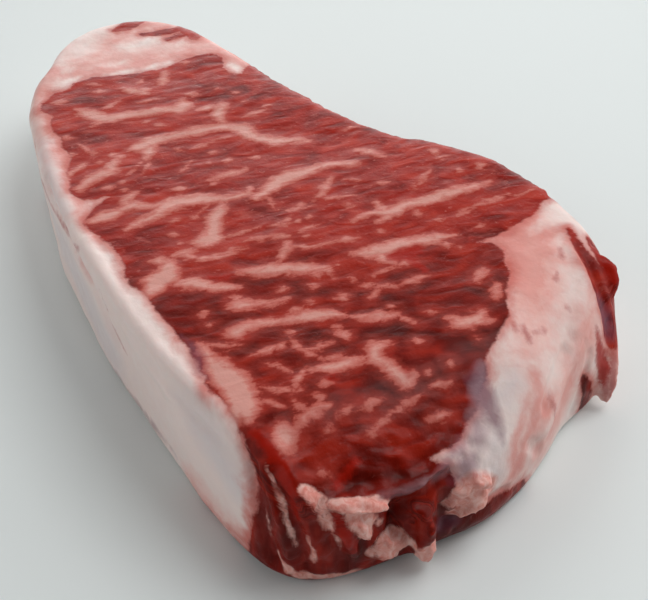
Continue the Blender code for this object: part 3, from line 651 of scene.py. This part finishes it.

# lean: darker and browner towards the thick end, partly its own deeper red and partly painted shade where
# less of the wet sheen shows
tone = add_node(tree, "ShaderNodeMath", {0: patches.outputs["Fac"], 1: 1.5, 2: bundle.outputs["Fac"]},
                operation="MULTIPLY_ADD")
tone_spread = add_node(tree, "ShaderNodeMapRange", {"Value": tone.outputs[0], "From Min": 0.88,
                       "From Max": 1.6})
pale_lean = add_node(tree, "ShaderNodeValToRGB", {"Fac": tone_spread.outputs[0]}, stops=(
    (0.0, "#6e120b"), (0.35, "#881a11"), (0.65, "#9c251a"), (1.0, "#af3223")))
deep_lean = add_node(tree, "ShaderNodeValToRGB", {"Fac": tone_spread.outputs[0]}, stops=(
    (0.0, "#4e0a04"), (0.35, "#640e05"), (0.65, "#781409"), (1.0, "#952010")))
lean_colour = add_node(tree, "ShaderNodeMix", {0: deep_red_and_shade_at, 6: pale_lean.outputs["Color"],
                       7: deep_lean.outputs["Color"]}, data_type="RGBA")

# faint web of fat between the fibre bundles, and flecks a millimetre or less
web_place = add_node(tree, "ShaderNodeMapping", {"Vector": fibre, "Location": (31, 17, 5)})
web = add_node(tree, "ShaderNodeTexNoise", {"Vector": web_place.outputs["Vector"], "Scale": 0.42,
               "Detail": 3.0, "Roughness": 0.55, "Distortion": 1.3})
web_cover = add_node(tree, "ShaderNodeMapRange", {"Value": deep_red_and_shade_at, "To Min": 0.5, "To Max": 0.1})
web_share = add_node(tree, "ShaderNodeMapRange", {"Value": web.outputs["Fac"], "From Min": 0.55,
                     "From Max": 0.72, "To Max": web_cover.outputs[0]})
webbed = add_node(tree, "ShaderNodeMix", {0: web_share.outputs[0], 6: lean_colour.outputs[2],
                  7: linear("#b25248")}, data_type="RGBA")
fleck_place = add_node(tree, "ShaderNodeMapping", {"Vector": fibre, "Location": (7, 43, 11)})
fleck = add_node(tree, "ShaderNodeTexNoise", {"Vector": fleck_place.outputs["Vector"], "Scale": 1.15,
                 "Detail": 2.0, "Roughness": 0.5, "Distortion": 0.4})
fleck_share = add_node(tree, "ShaderNodeMapRange", {"Value": fleck.outputs["Fac"], "From Min": 0.65,
                       "From Max": 0.74, "To Max": web_cover.outputs[0]})
flecked = add_node(tree, "ShaderNodeMix", {0: fleck_share.outputs[0], 6: webbed.outputs[2],
                   7: linear("#c3736a")}, data_type="RGBA")

# seams: frayed along the fibres, red at the fringe, then pink, then pale fat in the widest
seam_frayed = add_node(tree, "ShaderNodeMath", {0: strand_mm.outputs[0], 1: 3.2, 2: seam_at},
                       operation="MULTIPLY_ADD")
seam_edge = add_node(tree, "ShaderNodeMath", {0: crumb_mm.outputs[0], 1: 1.1, 2: seam_frayed.outputs[0]},
                     operation="MULTIPLY_ADD")
seam_step = add_node(tree, "ShaderNodeMapRange", {"Value": seam_edge.outputs[0], "From Min": -1.0,
                     "From Max": 1.9})
seam_colour = add_node(tree, "ShaderNodeValToRGB", {"Fac": seam_step.outputs[0]}, stops=(
    (0.0, "#9c3026"), (0.25, "#b04e43"), (0.5, "#c26b60"), (0.75, "#cd8277"), (1.0, "#d5998e")))
seam_share = add_node(tree, "ShaderNodeMapRange", {"Value": seam_edge.outputs[0], "From Min": -0.65,
                      "From Max": 0.0, "To Max": 0.95})
halo_share = add_node(tree, "ShaderNodeMapRange", {"Value": seam_edge.outputs[0], "From Min": -2.6,
                      "From Max": -0.2, "To Max": 0.5})
haloed = add_node(tree, "ShaderNodeMix", {0: halo_share.outputs[0], 6: flecked.outputs[2],
                  7: linear("#ac3e33")}, data_type="RGBA")
marbled = add_node(tree, "ShaderNodeMix", {0: seam_share.outputs[0], 6: haloed.outputs[2],
                   7: seam_colour.outputs["Color"]}, data_type="RGBA")

# fat: creamy and waxy, rosy in places, flushed beside the lean, cold grey where it is thick
fat_noise = add_node(tree, "ShaderNodeTexNoise", {"Vector": mm, "Scale": 0.13, "Detail": 4.0,
                     "Roughness": 0.6, "Distortion": 0.4})
fat_noise_fine = add_node(tree, "ShaderNodeTexNoise", {"Vector": mm, "Scale": 0.45, "Detail": 4.0,
                          "Roughness": 0.6, "Distortion": 0.8})
fat_mm = add_node(tree, "ShaderNodeMath", {0: fat_noise.outputs["Fac"], 1: 0.5}, operation="SUBTRACT")
rosy_edge = add_node(tree, "ShaderNodeMath", {0: fat_mm.outputs[0], 1: 16.0, 2: rosy_at},
                     operation="MULTIPLY_ADD")
rosy_share = add_node(tree, "ShaderNodeMapRange", {"Value": rosy_edge.outputs[0], "From Min": -5.0,
                      "From Max": 6.0})
fat_tone = add_node(tree, "ShaderNodeValToRGB", {"Fac": rosy_share.outputs[0]}, stops=(
    (0.0, "#ead6d0"), (0.4, "#e7c6bf"), (0.75, "#e3b0a8"), (1.0, "#dd9d94")))
cold_share = add_node(tree, "ShaderNodeMapRange", {"Value": cold_at, "From Min": -3.0, "From Max": 4.0,
                      "To Max": 0.8})
cooled = add_node(tree, "ShaderNodeMix", {0: cold_share.outputs[0], 6: fat_tone.outputs["Color"],
                  7: linear("#d9cdcd")}, data_type="RGBA")
flush_edge = add_node(tree, "ShaderNodeMath", {0: fat_mm.outputs[0], 1: 7.0, 2: flush_at},
                      operation="MULTIPLY_ADD")
flush_share = add_node(tree, "ShaderNodeMapRange", {"Value": flush_edge.outputs[0], "From Min": -1.6,
                       "From Max": 2.6, "To Max": 0.75}, interpolation_type="SMOOTHSTEP")
flushed = add_node(tree, "ShaderNodeMix", {0: flush_share.outputs[0], 6: cooled.outputs[2],
                   7: linear("#d98f86")}, data_type="RGBA")
vein_edge = add_node(tree, "ShaderNodeMath", {0: crumb_mm.outputs[0], 1: 1.6, 2: vein_at},
                     operation="MULTIPLY_ADD")
vein_share = add_node(tree, "ShaderNodeMapRange", {"Value": vein_edge.outputs[0], "From Min": -0.7,
                      "From Max": 0.7, "To Max": 0.7})
veined = add_node(tree, "ShaderNodeMix", {0: vein_share.outputs[0], 6: flushed.outputs[2],
                  7: linear("#ae5452")}, data_type="RGBA")
fringe_edge = add_node(tree, "ShaderNodeMath", {0: fat_mm.outputs[0], 1: 5.0, 2: lean_at},
                       operation="MULTIPLY_ADD")
fringe_share = add_node(tree, "ShaderNodeMapRange", {"Value": fringe_edge.outputs[0], "From Min": -3.4,
                        "From Max": 0.4, "To Max": 0.85}, interpolation_type="SMOOTHSTEP")
fat_colour = add_node(tree, "ShaderNodeMix", {0: fringe_share.outputs[0], 6: veined.outputs[2],
                      7: linear("#c4655b")}, data_type="RGBA")

torn_share = add_node(tree, "ShaderNodeMapRange", {"Value": torn_at, "From Min": -1.5, "From Max": 0.0})
torn_colour = add_node(tree, "ShaderNodeValToRGB", {"Fac": fat_noise_fine.outputs["Fac"]}, stops=(
    (0.3, "#c87468"), (0.45, "#d8958a"), (0.6, "#e0ada3"), (0.75, "#e6c0b8")))
with_scraps = add_node(tree, "ShaderNodeMix", {0: torn_share.outputs[0], 6: fat_colour.outputs[2],
                    7: torn_colour.outputs["Color"]}, data_type="RGBA")

lean_frayed = add_node(tree, "ShaderNodeMath", {0: strand_mm.outputs[0], 1: 1.6, 2: lean_at},
                       operation="MULTIPLY_ADD")
lean_edge = add_node(tree, "ShaderNodeMath", {0: crumb_mm.outputs[0], 1: 0.7, 2: lean_frayed.outputs[0]},
                     operation="MULTIPLY_ADD")
lean_share = add_node(tree, "ShaderNodeMapRange", {"Value": lean_edge.outputs[0], "From Min": -0.45,
                      "From Max": 0.45}, interpolation_type="SMOOTHSTEP")
flesh_colour = add_node(tree, "ShaderNodeMix", {0: lean_share.outputs[0], 6: with_scraps.outputs[2],
                        7: marbled.outputs[2]}, data_type="RGBA")

# grey-violet: membrane over lean, and painted shade at the foot of the fat cap
violet_edge = add_node(tree, "ShaderNodeMath", {0: fat_mm.outputs[0], 1: 5.0, 2: violet_at},
                       operation="MULTIPLY_ADD")
violet_share = add_node(tree, "ShaderNodeMapRange", {"Value": violet_edge.outputs[0], "From Min": -1.0,
                        "From Max": 2.0, "To Max": 0.75})
violet_membrane_and_shade = add_node(tree, "ShaderNodeMix", {0: violet_share.outputs[0], 6: flesh_colour.outputs[2],
                    7: linear("#7c5160")}, data_type="RGBA")
silver_edge = add_node(tree, "ShaderNodeMath", {0: fat_mm.outputs[0], 1: 4.0, 2: silver_at},
                       operation="MULTIPLY_ADD")
silver_share = add_node(tree, "ShaderNodeMapRange", {"Value": silver_edge.outputs[0], "From Min": -0.8,
                        "From Max": 2.0, "To Max": 0.7})
silvered = add_node(tree, "ShaderNodeMix", {0: silver_share.outputs[0], 6: violet_membrane_and_shade.outputs[2],
                    7: linear("#a08289")}, data_type="RGBA")
juice_edge = add_node(tree, "ShaderNodeMath", {0: crumb_mm.outputs[0], 1: 2.0, 2: juice_at},
                      operation="MULTIPLY_ADD")
juice_share = add_node(tree, "ShaderNodeMapRange", {"Value": juice_edge.outputs[0], "From Min": -1.0,
                       "From Max": 0.8, "To Max": 0.8}, interpolation_type="SMOOTHSTEP")
juiced = add_node(tree, "ShaderNodeMix", {0: juice_share.outputs[0], 6: silvered.outputs[2],
                  7: linear("#a01708")}, data_type="RGBA")

# relief finer than the mesh: fibre bundles in the lean, waxy dents in the fat
lean_relief = add_node(tree, "ShaderNodeMath", {0: bundle.outputs["Fac"], 1: 0.5}, operation="MULTIPLY")
fine_relief = add_node(tree, "ShaderNodeMath", {0: crumb.outputs["Fac"], 1: 0.16,
                       2: lean_relief.outputs[0]}, operation="MULTIPLY_ADD")
fat_dents = add_node(tree, "ShaderNodeTexNoise", {"Vector": mm, "Scale": 0.4, "Detail": 4.0})
fat_relief = add_node(tree, "ShaderNodeMath", {0: fat_dents.outputs["Fac"], 1: 0.35}, operation="MULTIPLY")
relief = add_node(tree, "ShaderNodeMix", {0: lean_share.outputs[0], 2: fat_relief.outputs[0],
                  3: fine_relief.outputs[0]}, data_type="FLOAT")
bump = add_node(tree, "ShaderNodeBump", {"Height": relief.outputs[0], "Distance": 0.0008, "Strength": 0.7})

wetness = add_node(tree, "ShaderNodeTexNoise", {"Vector": mm, "Scale": 0.25, "Detail": 2.0})
wet_rough = add_node(tree, "ShaderNodeMapRange", {"Value": wetness.outputs["Fac"], "From Min": 0.3,
                     "From Max": 0.7, "To Min": 0.28, "To Max": 0.5})

surface = add_node(tree, "ShaderNodeBsdfPrincipled", {
    "Base Color": juiced.outputs[2],
    "Roughness": wet_rough.outputs[0],
    "Normal": bump.outputs["Normal"],
    "Subsurface Weight": 0.15,
    "Subsurface Radius": (1.0, 0.35, 0.25),
    "Subsurface Scale": 0.0022,
    "IOR": 1.37,
    "Specular IOR Level": 0.13,
    "Coat Weight": 0.08,
    "Coat Roughness": 0.1,
    "Coat IOR": 1.34,
})
tree.links.new(surface.outputs["BSDF"], ends.inputs["Surface"])

steak = hung("strip_steak", flesh_mesh)
flesh_mesh.name = "strip_steak"
flesh_mesh.materials.clear()
flesh_mesh.materials.append(beef)
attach(steak, "root")
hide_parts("steak")

# --- Floor --------------------------------------------------------------------
# A plain pale sheet of satin laminate under the steak, far wider than the view.
FLOOR_HALF = 1.6

laminate = bpy.data.materials.new("satin_laminate_floor")
laminate.use_nodes = True
laminate_surface = laminate.node_tree.nodes["Principled BSDF"]
laminate_surface.inputs["Base Color"].default_value = linear("#e3e9e8")
laminate_surface.inputs["Roughness"].default_value = 0.55
laminate_surface.inputs["Specular IOR Level"].default_value = 0.3
sheet = bmesh.new()
bmesh.ops.create_grid(sheet, x_segments=1, y_segments=1, size=FLOOR_HALF)
floor_mesh = bpy.data.meshes.new("floor")
sheet.to_mesh(floor_mesh)
sheet.free()
floor = hung("floor", floor_mesh)
floor_mesh.materials.append(laminate)

# --- Light and camera ---------------------------------------------------------
# A dark studio: one soft box high on the bone side, one over the cap, and three low
# glows round the horizon, the broad ones behind the tail giving the wet sheen. Past the
# floor there is a plain pale backdrop, which lights nothing.
# Each glow: bearing and height in degrees, where it starts and where it is full, strength
GLOWS = ((152.5, 8.0, 34.0, 14.0, 3.0), (77.5, 12.0, 52.0, 15.0, 1.73), (267.5, 20.0, 55.0, 15.0, 1.02))

studio = bpy.data.worlds.new("studio")
bpy.context.scene.world = studio
studio.use_nodes = True
sky = studio.node_tree
looking = add_node(sky, "ShaderNodeTexCoord")
glow = 0.0
for bearing, height_angle, start, full, strength in GLOWS:
    turn, rise = math.radians(bearing), math.radians(height_angle)
    towards = (math.cos(turn) * math.cos(rise), math.sin(turn) * math.cos(rise), math.sin(rise))
    facing_it = add_node(sky, "ShaderNodeVectorMath", {0: looking.outputs["Generated"], 1: towards},
                         operation="DOT_PRODUCT")
    share = add_node(sky, "ShaderNodeMapRange", {"Value": facing_it.outputs["Value"],
                     "From Min": math.cos(math.radians(start)), "From Max": math.cos(math.radians(full))},
                     interpolation_type="SMOOTHSTEP")
    total = add_node(sky, "ShaderNodeMath", {0: share.outputs[0], 1: strength, 2: glow},
                     operation="MULTIPLY_ADD")
    glow = total.outputs[0]
seen = add_node(sky, "ShaderNodeLightPath")
backdrop = add_node(sky, "ShaderNodeMix", {0: seen.outputs["Is Camera Ray"], 2: glow, 3: 0.7},
                    data_type="FLOAT")
sky.links.new(backdrop.outputs[0], sky.nodes["Background"].inputs["Strength"])
sky.nodes["Background"].inputs["Color"].default_value = (1.0, 1.0, 1.0, 1.0)
bpy.context.scene.view_settings.view_transform = "Standard"


def soft_light(name, place, size, power):
    """A square soft box at a place, turned to the middle of the steak."""
    lamp = bpy.data.lights.new(name, "AREA")
    lamp.shape = "SQUARE"
    lamp.size = size
    lamp.energy = power
    item = bpy.data.objects.new(name, lamp)
    item.location = place
    item.rotation_euler = (-Vector(place)).to_track_quat("-Z", "Y").to_euler()
    bpy.context.scene.collection.objects.link(item)


soft_light("key", (0.05, 0.39, 0.8), 0.5, 3.6)
soft_light("fill_cap_side", (-0.628, -0.139, 0.766), 0.5, 1.23)

CAMERA_DISTANCE = 0.2823
CAMERA_AIM = Vector((0.0339, -0.00535, 0.0165))
CAMERA_TURN = (math.radians(48.0), 0.0, math.radians(62.46))

lens = bpy.data.cameras.new("camera")
lens.lens = 60.0
lens.sensor_width = 36.0
lens.clip_start = 0.01
camera = bpy.data.objects.new("camera", lens)
camera.rotation_euler = CAMERA_TURN
camera.location = CAMERA_AIM + camera.rotation_euler.to_matrix() @ Vector((0, 0, CAMERA_DISTANCE))
bpy.context.scene.collection.objects.link(camera)
bpy.context.scene.camera = camera
